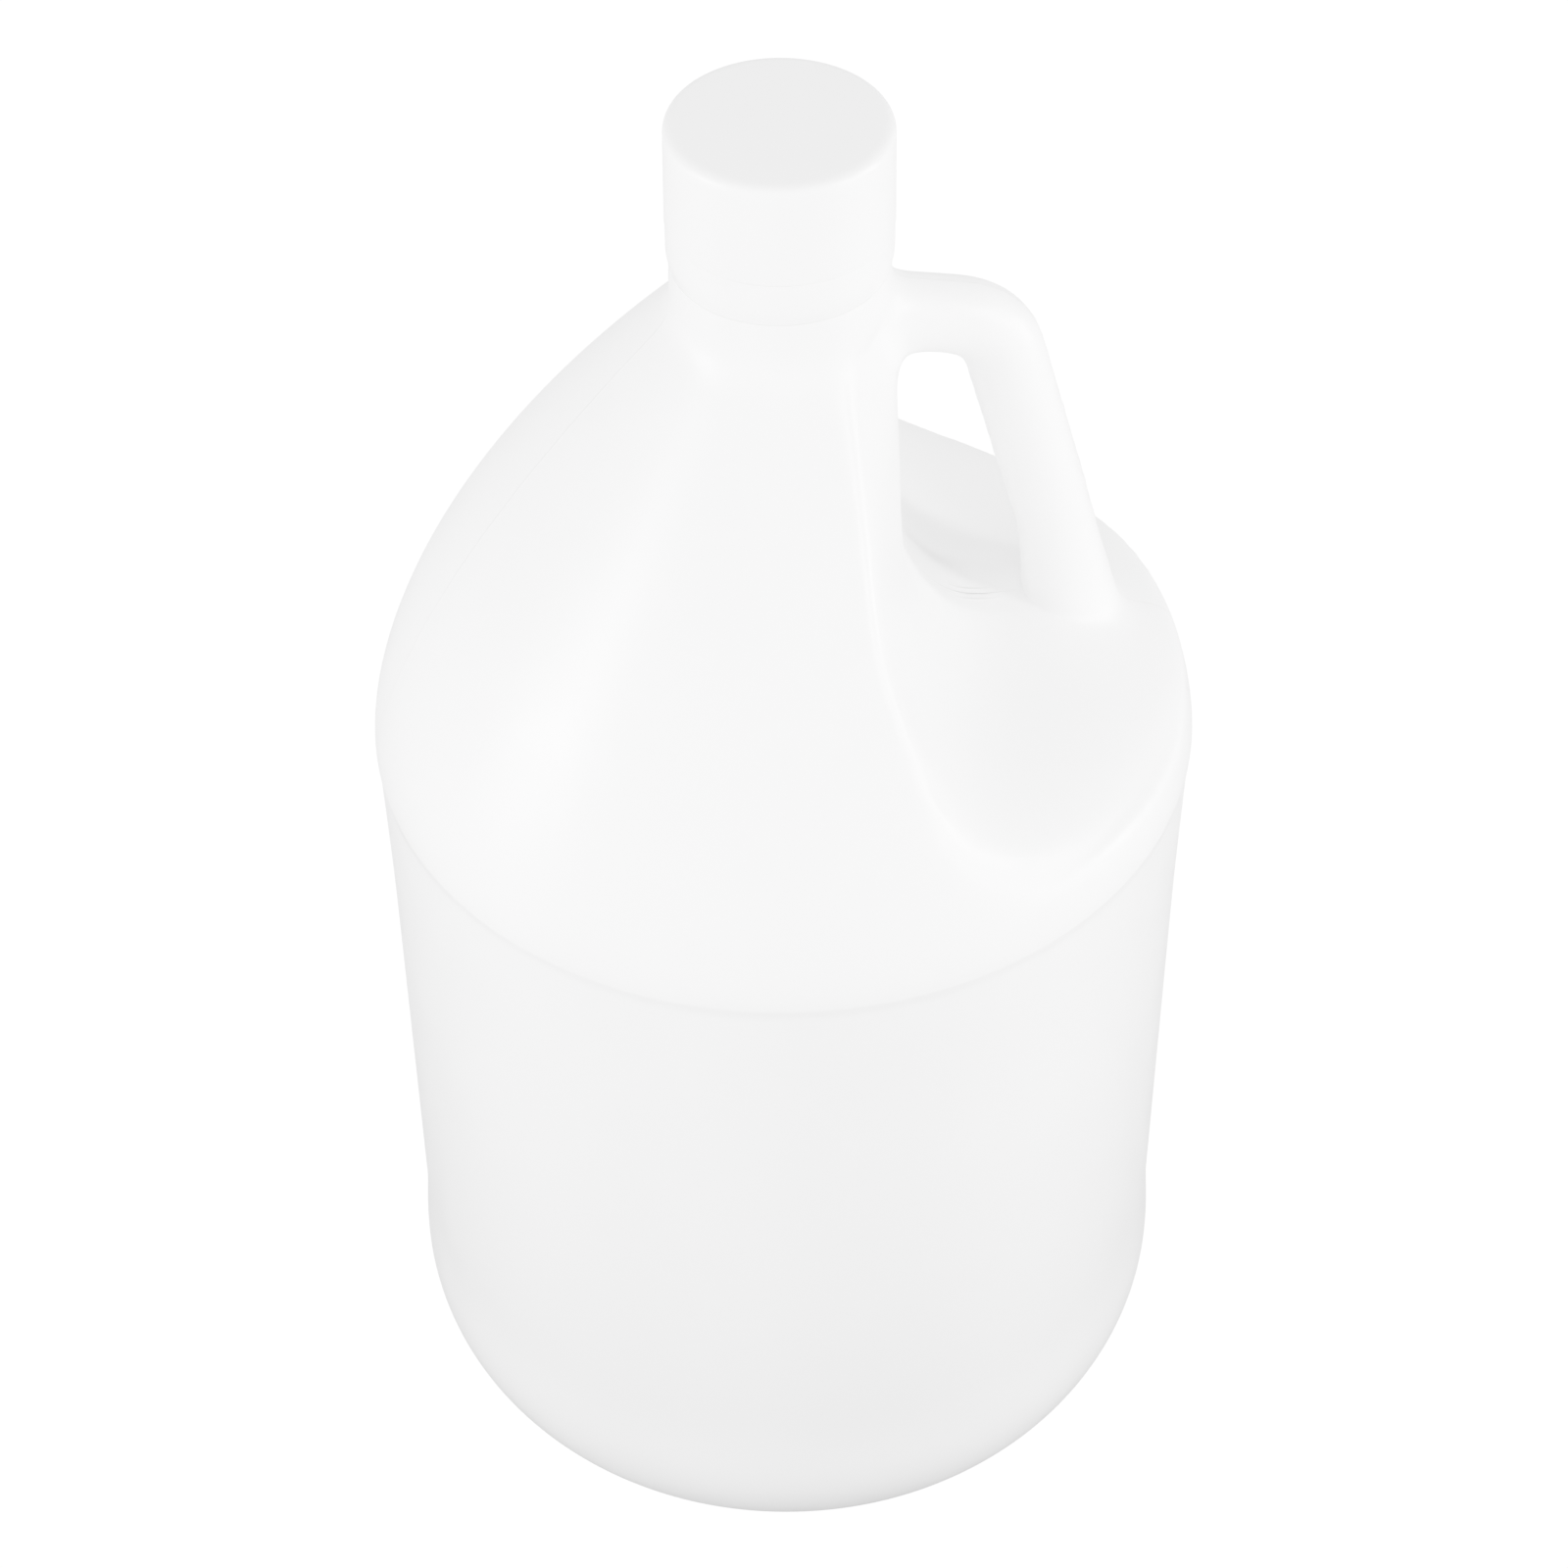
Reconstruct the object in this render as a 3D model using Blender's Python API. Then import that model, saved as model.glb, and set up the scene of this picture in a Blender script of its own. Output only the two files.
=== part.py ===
"""A round one-gallon jug of white plastic with a moulded finger handle, a tamper ring and a screw cap.

The jug is shut and is modelled solid, as one closed body with its handle. Metres, +Z up. The origin is the
middle of the base, on the surface that the jug stands on, and the handle is on the +X side.
"""

import math

import bmesh
import bpy
from mathutils import Matrix

MM = 0.001

# Turned body: radii and heights from the floor
FOOT_RADIUS = 62.0 * MM
RECESS_RADIUS = 50.0 * MM
RECESS_DEPTH = 3.0 * MM
BODY_RADIUS = 79.2 * MM
HEEL_HEIGHT = 23.4 * MM
PANEL_RADIUS = 78.3 * MM
PANEL_BOTTOM = 38.5 * MM
PANEL_TOP = 168.4 * MM
PANEL_STEP = 1.6 * MM
SHOULDER_BOTTOM = 171.0 * MM
SHOULDER_TOP = 268.9 * MM
SHOULDER_POWER = 1.5
NECK_RADIUS = 19.9 * MM
NECK_WAIST_RADIUS = 19.6 * MM
NECK_WAIST_TOP = 279.6 * MM
MOUTH_RADIUS = 17.0 * MM

# Ring and cap on the neck
GAP = 0.3 * MM
RING_RADIUS = 20.0 * MM
RING_FOOT_RADIUS = 19.3 * MM
RING_TAPER = 2.6 * MM
RING_TOP = 288.4 * MM
CAP_RADIUS = 20.1 * MM
CAP_TOP_RADIUS = 19.9 * MM
CAP_ROUNDING = 3.8 * MM
CAP_TOP = 308.2 * MM

# Handle: a bent tube in the plane of X and Z, whose arm falls a little on its way out from the neck
ARM_START = 12.4 * MM
ARM_START_HEIGHT = 267.2 * MM
ARM_FALL = math.radians(13.0)
CORNER_REACH = 38.9 * MM
GRIP_LEAN = math.radians(15.2)
GRIP_BOTTOM = 188.0 * MM
BEND_RADIUS = 12.0 * MM
TUBE_THICKNESS = 14.6 * MM
TUBE_WIDTH = 13.6 * MM

# Hollow on both sides of the handle. Each row is one level of it: its height, the reach along X of its
# floor beside the handle, that floor's half width, the reach and half width where it runs out, and how
# far its flank bows outwards between the two.
HOLLOW_LEVELS = [
    (183.3, 77.8, 7.0, 43.3, 63.9, 6.5),
    (185.5, 74.0, 7.0, 37.6, 65.9, 5.0),
    (187.5, 67.0, 7.0, 33.5, 67.2, 3.8),
    (189.0, 57.0, 7.0, 30.7, 67.9, 2.8),
    (190.2, 47.0, 7.0, 28.8, 68.2, 1.8),
    (191.6, 39.5, 7.0, 27.0, 68.4, 1.0),
    (194.0, 34.0, 7.0, 24.7, 68.4, 0.4),
    (198.2, 29.6, 7.0, 21.7, 67.5, 0.0),
    (202.8, 26.4, 7.5, 18.9, 65.4, 0.0),
    (208.0, 23.9, 8.0, 16.3, 62.8, 0.0),
    (213.2, 22.2, 8.5, 13.9, 60.0, 0.0),
    (220.0, 21.5, 9.0, 11.6, 56.5, 0.0),
    (228.7, 21.3, 9.0, 9.5, 51.0, 0.0),
    (247.2, 21.2, 8.2, 9.1, 37.6, 0.0),
    (259.6, 21.0, 6.2, 9.1, 26.8, 0.0),
    (269.9, 20.8, 3.1, 8.8, 17.5, 0.0),
]
HOLLOW_SOFTNESS = 6.0 * MM
HOLLOW_HALF_WIDTH = 76.0 * MM
HOLLOW_REACH = 100.0 * MM

# Fineness of the faceted solids
TURN_STEPS = 72
CAP_STEPS = 64
HEEL_STEPS = 7
SHOULDER_STEPS = 15
ROUNDING_STEPS = 5
TUBE_STEPS = 24
BEND_STEPS = 7
GRIP_STEPS = 10
HOLLOW_COLUMNS = 32
HOLLOW_ROWS = 26
MERGE_DISTANCE = 0.00001


def clear_scene():
    for thing in list(bpy.data.objects):
        bpy.data.objects.remove(thing)


def moulded_plastic(name, colour, roughness):
    """An opaque moulded plastic."""
    material = bpy.data.materials.new(name)
    material.use_nodes = True
    shader = material.node_tree.nodes["Principled BSDF"]
    shader.inputs["Base Color"].default_value = (*colour, 1.0)
    shader.inputs["Roughness"].default_value = roughness
    shader.inputs["Metallic"].default_value = 0.0
    material.diffuse_color = (*colour, 1.0)
    return material


def finished(bm, name):
    """Turns a bmesh into an object whose faces point outwards."""
    bmesh.ops.remove_doubles(bm, verts=bm.verts, dist=MERGE_DISTANCE)
    bmesh.ops.recalc_face_normals(bm, faces=bm.faces)
    mesh = bpy.data.meshes.new(name)
    bm.to_mesh(mesh)
    bm.free()
    mesh.shade_smooth()
    mesh.set_sharp_from_angle(angle=math.radians(35))
    thing = bpy.data.objects.new(name, mesh)
    bpy.context.collection.objects.link(thing)
    return thing


def quarter_round(inner, outer, bottom, top, steps):
    """Points of a quarter ellipse from (inner, bottom), where it is level, up to (outer, top)."""
    points = []
    for step in range(steps + 1):
        angle = 0.5 * math.pi * step / steps
        radius = inner + (outer - inner) * math.sin(angle)
        height = bottom + (top - bottom) * (1.0 - math.cos(angle))
        points.append((radius, height))
    return points


def turned(name, outline, steps, closed=False):
    """Spins an outline of (radius, height) points about the Z axis."""
    bm = bmesh.new()
    verts = [bm.verts.new((radius, 0.0, height)) for radius, height in outline]
    edges = [bm.edges.new(pair) for pair in zip(verts, verts[1:])]
    if closed:
        edges.append(bm.edges.new((verts[-1], verts[0])))
    bmesh.ops.spin(
        bm,
        geom=verts + edges,
        cent=(0.0, 0.0, 0.0),
        axis=(0.0, 0.0, 1.0),
        angle=2.0 * math.pi,
        steps=steps,
        use_merge=True,
    )
    return finished(bm, name)


def shoulder_radius(height):
    """The shoulder narrows from the body to the neck by a power of the height."""
    rise = (height - SHOULDER_BOTTOM) / (SHOULDER_TOP - SHOULDER_BOTTOM)
    return BODY_RADIUS - (BODY_RADIUS - NECK_RADIUS) * max(rise, 0.0) ** SHOULDER_POWER


def body_outline():
    outline = [(0.0, RECESS_DEPTH), (RECESS_RADIUS, RECESS_DEPTH), (RECESS_RADIUS + RECESS_DEPTH, 0.0)]
    outline += quarter_round(FOOT_RADIUS, BODY_RADIUS, 0.0, HEEL_HEIGHT, HEEL_STEPS)
    outline += [(PANEL_RADIUS, PANEL_BOTTOM), (PANEL_RADIUS, PANEL_TOP)]
    outline.append((BODY_RADIUS, PANEL_TOP + PANEL_STEP))
    for step in range(SHOULDER_STEPS + 1):
        height = SHOULDER_BOTTOM + (SHOULDER_TOP - SHOULDER_BOTTOM) * step / SHOULDER_STEPS
        outline.append((shoulder_radius(height), height))
    outline += [(NECK_WAIST_RADIUS, NECK_WAIST_TOP), (MOUTH_RADIUS, NECK_WAIST_TOP)]
    outline += [(MOUTH_RADIUS, RING_TOP), (0.0, RING_TOP)]
    return outline


def level_value(height, column):
    """One column of the hollow's levels at any height, on a smooth curve through the rows."""
    heights = [row[0] * MM for row in HOLLOW_LEVELS]
    values = [row[column] * MM for row in HOLLOW_LEVELS]
    if height <= heights[0]:
        return values[0]
    if height >= heights[-1]:
        return values[-1]
    last = len(heights) - 1
    i = max(k for k in range(last) if heights[k] <= height)

    def slope(k):
        low, high = max(k - 1, 0), min(k + 1, last)
        return (values[high] - values[low]) / (heights[high] - heights[low])

    span = heights[i + 1] - heights[i]
    t = (height - heights[i]) / span
    start = (1.0 + 2.0 * t) * (1.0 - t) ** 2 * values[i] + t * (1.0 - t) ** 2 * span * slope(i)
    end = t * t * (3.0 - 2.0 * t) * values[i + 1] - t * t * (1.0 - t) * span * slope(i + 1)
    return start + end


def hollow_reach(side, height):
    """How far out along X the hollow's surface lies, at a distance to the side and a height."""
    floor_reach = level_value(height, 1)
    floor_width = level_value(height, 2)
    rim_reach = level_value(height, 3)
    rim_width = level_value(height, 4)
    past = abs(side) - floor_width
    eased = 0.5 * (past + math.sqrt(past * past + HOLLOW_SOFTNESS**2)) / (rim_width - floor_width)
    bow = level_value(height, 5) * max(4.0 * eased * (1.0 - eased), 0.0)
    return floor_reach + (rim_reach - floor_reach) * eased + bow


def hollow_cutter():
    """The space taken out of the shoulder: a curved sheet, pushed outwards into a block."""
    bottom = HOLLOW_LEVELS[0][0] * MM
    top = HOLLOW_LEVELS[-1][0] * MM
    bm = bmesh.new()
    bmesh.ops.create_grid(bm, x_segments=HOLLOW_COLUMNS, y_segments=HOLLOW_ROWS, size=1.0)
    for vert in bm.verts:
        side = vert.co.x * HOLLOW_HALF_WIDTH
        height = bottom + (top - bottom) * 0.5 * (vert.co.y + 1.0)
        vert.co = (hollow_reach(side, height), side, height)
    outer = bmesh.ops.extrude_face_region(bm, geom=list(bm.faces))
    for vert in outer["geom"]:
        if isinstance(vert, bmesh.types.BMVert):
            vert.co.x = HOLLOW_REACH
    return finished(bm, "hollow_cutter")


def handle_path():
    """Points of the tube's centre line, as (reach, height), and how far it points down at each."""
    grip_angle = math.pi / 2 - GRIP_LEAN
    turn = grip_angle - ARM_FALL
    tangent = BEND_RADIUS * math.tan(turn / 2)
    arm = (CORNER_REACH - ARM_START) / math.cos(ARM_FALL) - tangent
    reach = ARM_START + arm * math.cos(ARM_FALL)
    height = ARM_START_HEIGHT - arm * math.sin(ARM_FALL)
    path = [(ARM_START, ARM_START_HEIGHT, ARM_FALL), (reach, height, ARM_FALL)]
    chord = 2.0 * BEND_RADIUS * math.sin(0.5 * turn / BEND_STEPS)
    for step in range(BEND_STEPS):
        heading = ARM_FALL + turn * (step + 0.5) / BEND_STEPS
        reach += chord * math.cos(heading)
        height -= chord * math.sin(heading)
        path.append((reach, height, ARM_FALL + turn * (step + 1) / BEND_STEPS))
    fall = (height - GRIP_BOTTOM) / GRIP_STEPS
    for step in range(GRIP_STEPS):
        reach += fall * math.tan(GRIP_LEAN)
        height -= fall
        path.append((reach, height, grip_angle))
    return path


def handle_tube():
    """An oval disc, pushed along the centre line."""
    places = []
    for reach, height, angle in handle_path():
        turned_down = Matrix.Rotation(math.pi / 2 + angle, 4, "Y")
        places.append(Matrix.Translation((reach, 0.0, height)) @ turned_down)
    oval = Matrix.Diagonal((TUBE_THICKNESS / 2, TUBE_WIDTH / 2, 1.0, 1.0))
    bm = bmesh.new()
    bmesh.ops.create_circle(bm, cap_ends=True, segments=TUBE_STEPS, radius=1.0, matrix=places[0] @ oval)
    bm.faces.ensure_lookup_table()
    end = bm.faces[0]
    for before, after in zip(places, places[1:]):
        pushed = bmesh.ops.extrude_face_region(bm, geom=[end])
        if before is not places[0]:
            bmesh.ops.delete(bm, geom=[end], context="FACES_ONLY")
        end = next(item for item in pushed["geom"] if isinstance(item, bmesh.types.BMFace))
        bmesh.ops.transform(bm, matrix=after @ before.inverted(), verts=end.verts)
    return finished(bm, "handle_tube")


def combined(target, tool, operation):
    """Applies one Boolean to the target and removes the tool."""
    tool.hide_render = True
    tool.display_type = "WIRE"
    step = target.modifiers.new(operation.lower(), "BOOLEAN")
    step.operation = operation
    step.solver = "EXACT"
    step.object = tool
    graph = bpy.context.evaluated_depsgraph_get()
    mesh = bpy.data.meshes.new_from_object(target.evaluated_get(graph))
    target.modifiers.clear()
    target.data = mesh
    bpy.data.objects.remove(tool)
    return target


def jug():
    """The body, its hollow and its handle, as one solid."""
    body = turned("jug", body_outline(), TURN_STEPS)
    combined(body, hollow_cutter(), "DIFFERENCE")
    combined(body, handle_tube(), "UNION")
    body.data.shade_smooth()
    body.data.set_sharp_from_angle(angle=math.radians(35))
    body.data.materials.clear()
    body.data.materials.append(moulded_plastic("white_jug_plastic", (0.88, 0.88, 0.87), 0.45))
    return body


def tamper_ring():
    """The loose ring under the cap, tapered at its foot."""
    foot = NECK_WAIST_TOP + GAP
    inner = MOUTH_RADIUS + GAP
    outline = [(inner, foot), (RING_FOOT_RADIUS, foot), (RING_RADIUS, foot + RING_TAPER)]
    outline += [(RING_RADIUS, RING_TOP), (inner, RING_TOP)]
    ring = turned("tamper_ring", outline, CAP_STEPS, closed=True)
    ring.data.materials.append(moulded_plastic("white_ring_plastic", (0.87, 0.87, 0.86), 0.4))
    return ring


def cap():
    """The screw cap, shut on the neck."""
    foot = RING_TOP + GAP
    inner = CAP_TOP_RADIUS - CAP_ROUNDING
    rounding = quarter_round(inner, CAP_TOP_RADIUS, CAP_TOP, CAP_TOP - CAP_ROUNDING, ROUNDING_STEPS)
    outline = [(0.0, foot), (CAP_RADIUS, foot)]
    outline += reversed(rounding)
    outline.append((0.0, CAP_TOP))
    lid = turned("cap", outline, CAP_STEPS)
    lid.data.materials.append(moulded_plastic("white_cap_plastic", (0.87, 0.87, 0.86), 0.4))
    return lid


clear_scene()
jug()
tamper_ring()
cap()
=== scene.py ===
"""The looks of a one-gallon jug of white plastic: its fine surface, finish, light and camera.

Metres, +Z up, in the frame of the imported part: the origin is the middle of the base and the
finger handle is on the +X side. The body is turned. Its shoulder is cut and joined to the handle,
remeshed and eased, and the turned stretches below and above are stitched to it, so that the jug is
one closed mesh.
"""

import math

import bmesh
import bpy
import numpy as np
from mathutils import Matrix, Vector
from mathutils.kdtree import KDTree


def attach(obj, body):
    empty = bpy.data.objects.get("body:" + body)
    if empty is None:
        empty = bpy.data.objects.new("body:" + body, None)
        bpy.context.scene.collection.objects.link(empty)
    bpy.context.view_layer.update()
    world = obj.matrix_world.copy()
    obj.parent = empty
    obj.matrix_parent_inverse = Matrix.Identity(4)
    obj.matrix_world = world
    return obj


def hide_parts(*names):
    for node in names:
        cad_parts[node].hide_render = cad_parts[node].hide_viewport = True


MM = 0.001

# Turned body: radii and heights from the floor
RECESS_RADIUS = 50.0 * MM
RECESS_DEPTH = 3.0 * MM
RECESS_ROUNDING = 2.0 * MM
RECESS_EDGE_ROUNDING = 1.0 * MM
FOOT_RADIUS = 62.0 * MM
BODY_RADIUS = 79.2 * MM
HEEL_HEIGHT = 23.4 * MM
HEEL_TOP_RISE = 3.0 * MM
HEEL_TOP_INSET = 0.02 * MM
HEEL_TOP_ROUNDING = 2.0 * MM
PANEL_RADIUS = 78.3 * MM
PANEL_BOTTOM = 38.5 * MM
PANEL_BOTTOM_ROUNDING = 5.0 * MM
PANEL_TOP = 168.4 * MM
PANEL_TOP_RADIUS = 78.85 * MM
PANEL_TOP_ROUNDING = 1.4 * MM
PANEL_SPREAD_START = 138.0 * MM
PANEL_SPREAD_ROUNDING = 12.0 * MM
PANEL_STEP = 2.0 * MM
RIDGE_ROUNDING = 0.9 * MM
SHOULDER_BOTTOM = 171.0 * MM
SHOULDER_TOP = 268.9 * MM
SHOULDER_POWER = 1.5
NECK_RADIUS = 19.9 * MM
NECK_WAIST_RADIUS = 19.5 * MM
NECK_WAIST_TOP = 279.6 * MM
NECK_WAIST_ROUNDING = 0.2 * MM
NECK_ROUNDING = 3.0 * MM
MOUTH_RADIUS = 17.0 * MM

# Ring and cap on the neck
GAP = 0.06 * MM
EDGE_ROUNDING = 0.15 * MM
RING_RADIUS = 20.0 * MM
RING_FOOT_RADIUS = 19.5 * MM
RING_TAPER = 2.6 * MM
RING_ROUNDING = 0.8 * MM
RING_TOP = 288.4 * MM
CAP_RADIUS = 20.1 * MM
CAP_TOP_RADIUS = 19.9 * MM
CAP_ROUNDING = 2.2 * MM
CAP_TOP = 308.2 * MM

# Handle: a bent oval tube in the plane of X and Z. Its arm falls a little on the way out from the
# neck, and is slightly thinner than the grip.
ARM_START = 12.4 * MM
ARM_START_HEIGHT = 266.8 * MM
ARM_FALL = math.radians(12.4)
CORNER_REACH = 38.9 * MM
GRIP_LEAN = math.radians(15.2)
GRIP_BOTTOM = 188.0 * MM
BEND_RADIUS = 12.0 * MM
TUBE_THICKNESS = 14.6 * MM
TUBE_WIDTH = 13.6 * MM
TUBE_SWELL = 0.4 * MM
ARM_THINNING = 0.95

# Hollow on both sides of the handle. Each row is one level of it, in millimetres: its height, the
# reach along X of its floor beside the handle, that floor's half width, the reach and half width
# where it runs out, and how far its flank bows outwards between the two.
HOLLOW_LEVELS = [
    (183.3, 77.8, 7.0, 43.3, 63.9, 6.5),
    (185.5, 74.0, 7.0, 37.6, 65.9, 5.0),
    (187.5, 67.0, 7.0, 33.5, 67.2, 3.8),
    (189.0, 57.0, 7.0, 30.7, 67.9, 2.8),
    (190.2, 47.0, 7.0, 28.8, 68.2, 1.8),
    (191.6, 39.5, 7.0, 27.0, 68.4, 1.0),
    (194.0, 34.0, 7.0, 24.7, 68.4, 0.4),
    (198.2, 29.6, 7.0, 21.7, 67.5, 0.0),
    (202.8, 26.4, 7.5, 18.9, 65.4, 0.0),
    (208.0, 23.9, 8.0, 16.3, 62.8, 0.0),
    (213.2, 22.2, 8.5, 13.9, 60.0, 0.0),
    (220.0, 21.5, 9.0, 11.6, 56.5, 0.0),
    (228.7, 21.3, 9.0, 9.5, 51.0, 0.0),
    (247.2, 21.2, 8.2, 9.1, 37.6, 0.0),
    (259.6, 21.0, 6.2, 9.1, 26.8, 0.0),
    (269.9, 20.8, 3.1, 8.8, 17.5, 0.0),
]
HOLLOW_CURVE = 1.6
HOLLOW_SOFTNESS = 6.0 * MM
HOLLOW_HALF_WIDTH = 76.0 * MM
HOLLOW_REACH = 100.0 * MM

# Fineness of the meshes. A rounding takes at most its share of an edge on either side.
TURN_STEPS = 288
HEEL_STEPS = 24
CAP_STEPS = 192
CAP_CORNER_STEPS = 10
PANEL_ROW = 4.0 * MM
CORNER_STEPS = 6
ROUNDING_SHARE = 0.45
CORE_BOTTOM = 168.0 * MM
CORE_TOP = 284.0 * MM
CORE_ROW = 1.5 * MM
CORE_TURN_STEPS = 240
HOLLOW_COLUMNS = 90
HOLLOW_ROWS = 110
LEVEL_DIGITS = 7
TUBE_STEPS = 40
BEND_STEPS = 14
GRIP_STEPS = 44
VOXEL = 1.2 * MM
SEAM_LOW = 177.0 * MM
SEAM_HIGH = 278.2 * MM
SEAM_BAND = 0.8 * MM
SEAM_TOLERANCE = 0.2 * SEAM_BAND
MERGE_DISTANCE = 0.01 * MM

# Easing of the creases. The reaches say how far from its centre or from the cut surface each kind
# goes, and the passes how often the places there move towards the mean of their neighbours. The
# rim is the hollow's low edge on both sides, the foot is where the grip runs into the hollow's
# floor, the saddle is the floor between foot and neck, and the root is where the arm leaves the
# neck. A fillet fills its crease by a share of its width.
EASE_STEP = 0.5
LATHE_TOLERANCE = 0.6 * MM
EASE_REACH = 6.0 * MM
EASE_PASSES = 16
FILLET_PASSES = 30
RIM_REACH = 16.0 * MM
RIM_LEVELS = (178.0 * MM, 184.0 * MM, 198.0 * MM, 214.0 * MM)
RIM_SIDE = 22.0 * MM
RIM_PASSES = 140
NORMAL_PASSES = 24
SHORTEST_NORMAL = 0.001
CREASE_BAND = 1.0 * MM
FOOT_CENTRE = Vector((56.0 * MM, 0.0, 191.0 * MM))
FOOT_REACH = 38.0 * MM
FOOT_FILLET = 24.0 * MM
FOOT_LOPSIDE = 26.0 * MM
FILLET_FILL = 0.25
SADDLE_CENTRE = Vector((38.0 * MM, 0.0, 192.0 * MM))
SADDLE_REACH = 22.0 * MM
SADDLE_CLEARANCE = 5.0 * MM
SADDLE_PASSES = 60
ROOT_CENTRE = Vector((21.0 * MM, 0.0, 250.0 * MM))
ROOT_REACH = 14.0 * MM
ROOT_FILLET = 5.0 * MM

# Parting line of the mould, in the plane of the handle, and the pinched flash on the saddle
LINE_HALF_WIDTH = 0.35 * MM
LINE_HEIGHT = 0.07 * MM
PINCH_CENTRE = (37.0 * MM, 0.0, 192.5 * MM)
PINCH_REACH = 7.0 * MM
PINCH_SPREAD = 1.5 * MM
PINCH_HEIGHT = 0.25 * MM
STRAND_HALF_WIDTH = 1.5 * LINE_HALF_WIDTH

# Plastic: each noise has a scale and a detail
PLASTIC_WHITE = 0.92
PLASTIC_IOR = 1.5
PLASTIC_SPECULAR = 0.35
PLASTIC_UNEVENNESS = 0.015
JUG_ROUGHNESS = 0.34
CAP_ROUGHNESS = 0.32
ROUGHNESS_SPREAD = 0.04
JUG_GRAIN = 0.2
CAP_GRAIN = 0.12
WHITE_NOISE = (28.0, 3.0)
GLOSS_NOISE = (90.0, 4.0)
WAVE_NOISE = (22.0, 1.0)
GRAIN_NOISE = (1400.0, 2.0)
NOISE_RANGE = (0.3, 0.7)
WAVE_STRENGTH = 0.25
WAVE_HEIGHT = 0.4 * MM
GRAIN_HEIGHT = 0.05 * MM

# Camera, and a floor with painted shade round the jug: the colour it throws light back with goes
# from a dark near value to a pale far value over a distance from the origin
CAMERA_AZIMUTH = math.radians(-10.0)
CAMERA_TILT = math.radians(44.92)
CAMERA_ROLL = math.radians(-0.42)
CAMERA_DISTANCE = 539.5 * MM
CAMERA_HEIGHT = 687.7 * MM
CAMERA_LENS = 88.2
SENSOR_WIDTH = 36.0
FLOOR_SIZE = 8.0
FLOOR_NEAR = 0.08
FLOOR_NEAR_PAINTED_SHADE = 0.2
FLOOR_FAR = 0.5
FLOOR_FAR_PAINTED_SHADE = 0.9
FLOOR_GLOW = 1.02

# Studio light: azimuths are in degrees from the camera's side, positive to the camera's right.
# Each broad glow of the surroundings has an azimuth, an elevation, a strength and a sharpness;
# each soft box an azimuth, an elevation, a power in watts, a width and a height.
GLOWS = [
    (0.0, 0.0, 0.38, 2.0),
    (0.0, 45.0, 0.88, 3.0),
    (180.0, 0.0, 0.42, 2.0),
    (180.0, 45.0, 0.57, 3.0),
    (-90.0, 0.0, 0.12, 3.0),
]
SOFT_BOXES = {
    "left_box": (-75.0, 0.0, 2.7, 0.35, 0.6),
    "left_strip": (-65.0, 17.0, 4.0, 0.24, 0.8),
    "right_box": (70.0, 0.0, 1.4, 0.35, 0.6),
    "right_strip": (62.0, 28.0, 3.4, 0.15, 0.7),
    "right_side_strip": (90.0, 10.0, 3.0, 0.15, 0.7),
}
BOX_DISTANCE = 1.3
BOX_TARGET = Vector((0.0, 0.0, 0.16))
TONE_GAMMA = 3.0


# ---------------------------------------------------------------- shapes


def smooth_min(a, b, width):
    """The smaller of two lengths, rounded where they are within a width of each other."""
    near = max(width - abs(a - b), 0.0) / width
    return min(a, b) - near * near * width / 4.0


def shoulder_radius(height):
    """The shoulder narrows from the body to the neck by a power of the height."""
    rise = (height - SHOULDER_BOTTOM) / (SHOULDER_TOP - SHOULDER_BOTTOM)
    return BODY_RADIUS - (BODY_RADIUS - NECK_RADIUS) * max(rise, 0.0) ** SHOULDER_POWER


def neck_radius(height):
    """The neck draws in a little from the shoulder up to its waist."""
    rise = (height - SHOULDER_TOP) / (NECK_WAIST_TOP - SHOULDER_TOP)
    return NECK_RADIUS + (NECK_WAIST_RADIUS - NECK_RADIUS) * max(rise, 0.0)


def turned_radius(height):
    """The radius of the turned body from the shoulder up to the waist of the neck."""
    return -smooth_min(-shoulder_radius(height), -neck_radius(height), NECK_ROUNDING)


def level_value(height, column):
    """One column of the hollow's levels at any height, on a smooth curve through the rows."""
    heights = [row[0] * MM for row in HOLLOW_LEVELS]
    values = [row[column] * MM for row in HOLLOW_LEVELS]
    if height <= heights[0]:
        return values[0]
    if height >= heights[-1]:
        return values[-1]
    last = len(heights) - 1
    i = max(k for k in range(last) if heights[k] <= height)

    def slope(k):
        low, high = max(k - 1, 0), min(k + 1, last)
        return (values[high] - values[low]) / (heights[high] - heights[low])

    span = heights[i + 1] - heights[i]
    t = (height - heights[i]) / span
    start = (1.0 + 2.0 * t) * (1.0 - t) ** 2 * values[i] + t * (1.0 - t) ** 2 * span * slope(i)
    end = t * t * (3.0 - 2.0 * t) * values[i + 1] - t * t * (1.0 - t) * span * slope(i + 1)
    return start + end


def hollow_reach(side, level):
    """How far out along X the hollow lies at a distance to the side, on one level's values."""
    floor_reach, floor_width, rim_reach, rim_width, flank_bow = level
    past = abs(side) - floor_width
    eased = 0.5 * (past + math.sqrt(past * past + HOLLOW_SOFTNESS**2)) / (rim_width - floor_width)
    bow = flank_bow * max(4.0 * eased * (1.0 - eased), 0.0)
    return floor_reach + (rim_reach - floor_reach) * eased + bow


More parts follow.
